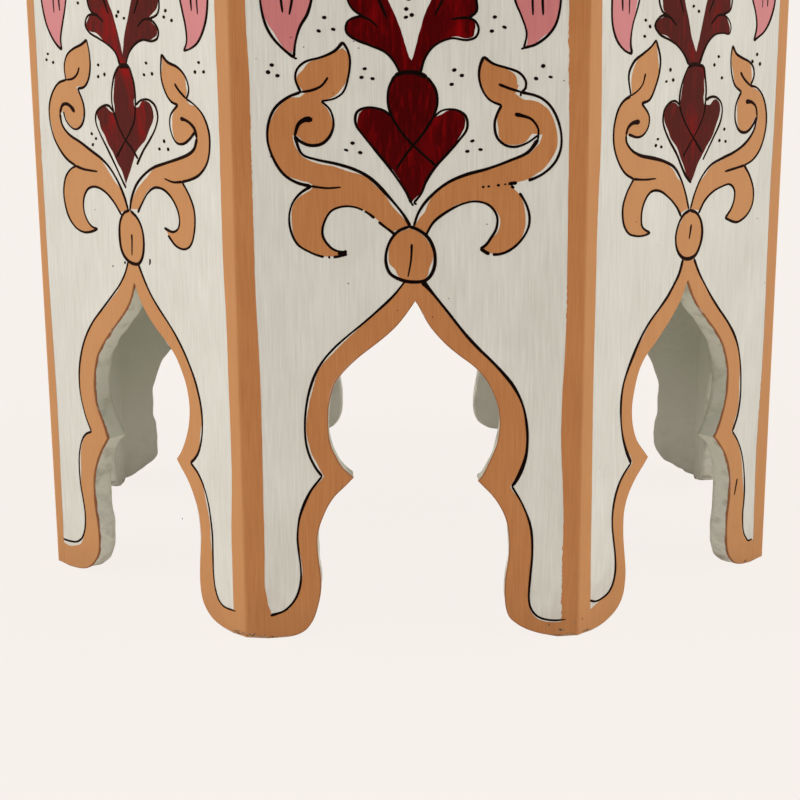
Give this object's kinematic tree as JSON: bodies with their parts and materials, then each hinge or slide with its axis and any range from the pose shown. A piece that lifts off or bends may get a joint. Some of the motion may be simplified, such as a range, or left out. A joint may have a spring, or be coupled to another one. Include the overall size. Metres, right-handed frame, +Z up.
{
  "type": "octagonal kursi stool",
  "caption": "Octagonal wooden stool or side table of mitred boards, an ogee arch cut in each side, hand-painted with scrolls and flowers, under a flat planked top.",
  "frame": {"origin": "centre of the stool on the floor, under the middle of the octagon", "axes": "+Z up through the stool; the front board faces -Y; +X to the right seen from the front"},
  "size_m": [0.43, 0.43, 0.5],
  "materials": {
    "painted_board": "off-white brushed paint on wood, satin, with fine upright brush streaks; rough primer on the cut edges and inside",
    "painted_top": "off-white brushed paint on planks with a tan border and a painted rosette, satin",
    "tan_paint": "tan to terracotta hand-brushed paint, satin",
    "red_paint": "dark red hand-brushed paint, streaky, satin",
    "pink_paint": "dusty pink hand-brushed paint, satin",
    "black_line": "black brush line, slightly glossy and raised",
    "bare_wood": "bare sawn softwood, matte",
    "steel_fixing": "plain steel wire and screw, slightly dull"
  },
  "bodies": {
    "root": {"back_board": "painted_board", "back_brad_left_high": "steel_fixing", "back_brad_left_low": "steel_fixing", "back_brad_left_middle": "steel_fixing", "back_brad_right_high": "steel_fixing", "back_brad_right_low": "steel_fixing", "back_brad_right_middle": "steel_fixing", "back_left_board": "painted_board", "back_right_board": "painted_board", "batten_screw_back_1": "steel_fixing", "batten_screw_back_2": "steel_fixing", "batten_screw_back_3": "steel_fixing", "batten_screw_front_1": "steel_fixing", "batten_screw_front_2": "steel_fixing", "batten_screw_front_3": "steel_fixing", "corner_block_1": "bare_wood", "corner_block_2": "bare_wood", "corner_block_3": "bare_wood", "corner_block_4": "bare_wood", "corner_block_5": "bare_wood", "corner_block_6": "bare_wood", "corner_block_7": "bare_wood", "corner_block_8": "bare_wood", "front_board": "painted_board", "front_brad_left_high": "steel_fixing", "front_brad_left_low": "steel_fixing", "front_brad_left_middle": "steel_fixing", "front_brad_right_high": "steel_fixing", "front_brad_right_low": "steel_fixing", "front_brad_right_middle": "steel_fixing", "front_left_board": "painted_board", "front_right_board": "painted_board", "left_board": "painted_board", "left_brad_left_high": "steel_fixing", "left_brad_left_low": "steel_fixing", "left_brad_left_middle": "steel_fixing", "left_brad_right_high": "steel_fixing", "left_brad_right_low": "steel_fixing", "left_brad_right_middle": "steel_fixing", "right_board": "painted_board", "right_brad_left_high": "steel_fixing", "right_brad_left_low": "steel_fixing", "right_brad_left_middle": "steel_fixing", "right_brad_right_high": "steel_fixing", "right_brad_right_low": "steel_fixing", "right_brad_right_middle": "steel_fixing", "top_batten_back": "bare_wood", "top_batten_front": "bare_wood", "top_nail_1": "steel_fixing", "top_nail_2": "steel_fixing", "top_nail_3": "steel_fixing", "top_nail_4": "steel_fixing", "top_nail_5": "steel_fixing", "top_nail_6": "steel_fixing", "top_nail_7": "steel_fixing", "top_nail_8": "steel_fixing", "top_plank_left": "painted_top", "top_plank_middle": "painted_top", "top_plank_right": "painted_top"}
  },
  "joints": []
}
